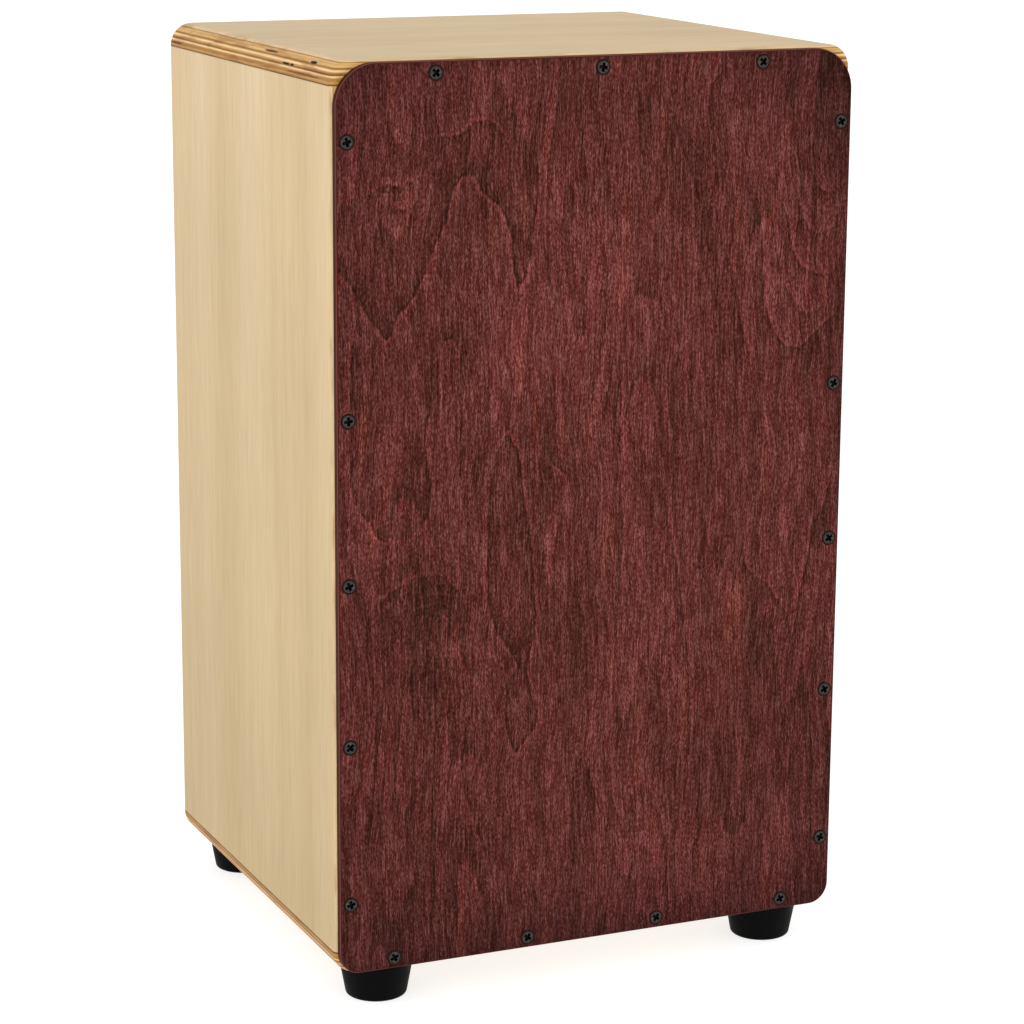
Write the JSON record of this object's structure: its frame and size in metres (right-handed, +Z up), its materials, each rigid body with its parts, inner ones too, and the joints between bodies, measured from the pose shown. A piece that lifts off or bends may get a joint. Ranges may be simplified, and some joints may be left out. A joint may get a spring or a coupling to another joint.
{
  "type": "cajon",
  "caption": "Box drum of pale birch plywood on tapered rubber feet, with a thin wine-red front plate screwed on along its edges and a round sound hole in its back.",
  "frame": {"origin": "on the floor under the feet, below the middle of the bounding box", "axes": "+Z up, -Y out of the tapa (the struck front plate), +X to the right of someone facing the tapa"},
  "size_m": [0.292, 0.2608, 0.4953],
  "materials": {
    "carcass_ply": "birch plywood, clear satin lacquer",
    "tapa_ply": "birch plywood, wine-red stain, satin lacquer",
    "softwood": "bare, sanded",
    "foot_rubber": "moulded, matte",
    "black_screws": "black coated steel, satin",
    "zinc_steel": "zinc plated",
    "snare_steel": "bright spring steel"
  },
  "bodies": {
    "root": {"top_panel": "carcass_ply", "bottom_panel": "carcass_ply", "left_side_panel": "carcass_ply", "right_side_panel": "carcass_ply", "back_panel": "carcass_ply", "tapa": "tapa_ply", "tapa_screw_top_1": "black_screws", "tapa_screw_top_2": "black_screws", "tapa_screw_top_3": "black_screws", "tapa_screw_left_1": "black_screws", "tapa_screw_left_2": "black_screws", "tapa_screw_left_3": "black_screws", "tapa_screw_left_4": "black_screws", "tapa_screw_left_5": "black_screws", "tapa_screw_right_1": "black_screws", "tapa_screw_right_2": "black_screws", "tapa_screw_right_3": "black_screws", "tapa_screw_right_4": "black_screws", "tapa_screw_right_5": "black_screws", "tapa_screw_bottom_1": "black_screws", "tapa_screw_bottom_2": "black_screws", "tapa_screw_bottom_3": "black_screws", "tapa_screw_bottom_4": "black_screws", "rubber_foot_front_left": "foot_rubber", "rubber_foot_front_right": "foot_rubber", "rubber_foot_back_left": "foot_rubber", "rubber_foot_back_right": "foot_rubber", "foot_washer_front_left": "zinc_steel", "foot_washer_front_right": "zinc_steel", "foot_washer_back_left": "zinc_steel", "foot_washer_back_right": "zinc_steel", "foot_screw_front_left": "zinc_steel", "foot_screw_front_right": "zinc_steel", "foot_screw_back_left": "zinc_steel", "foot_screw_back_right": "zinc_steel", "corner_strip_bottom_left": "softwood", "corner_strip_bottom_right": "softwood", "corner_strip_top_left": "softwood", "corner_strip_top_right": "softwood", "snare_batten": "softwood", "snare_wires_left": "snare_steel", "snare_wires_right": "snare_steel", "snare_screw_left_1": "black_screws", "snare_screw_left_2": "black_screws", "snare_screw_right_1": "black_screws", "snare_screw_right_2": "black_screws"}
  },
  "joints": []
}
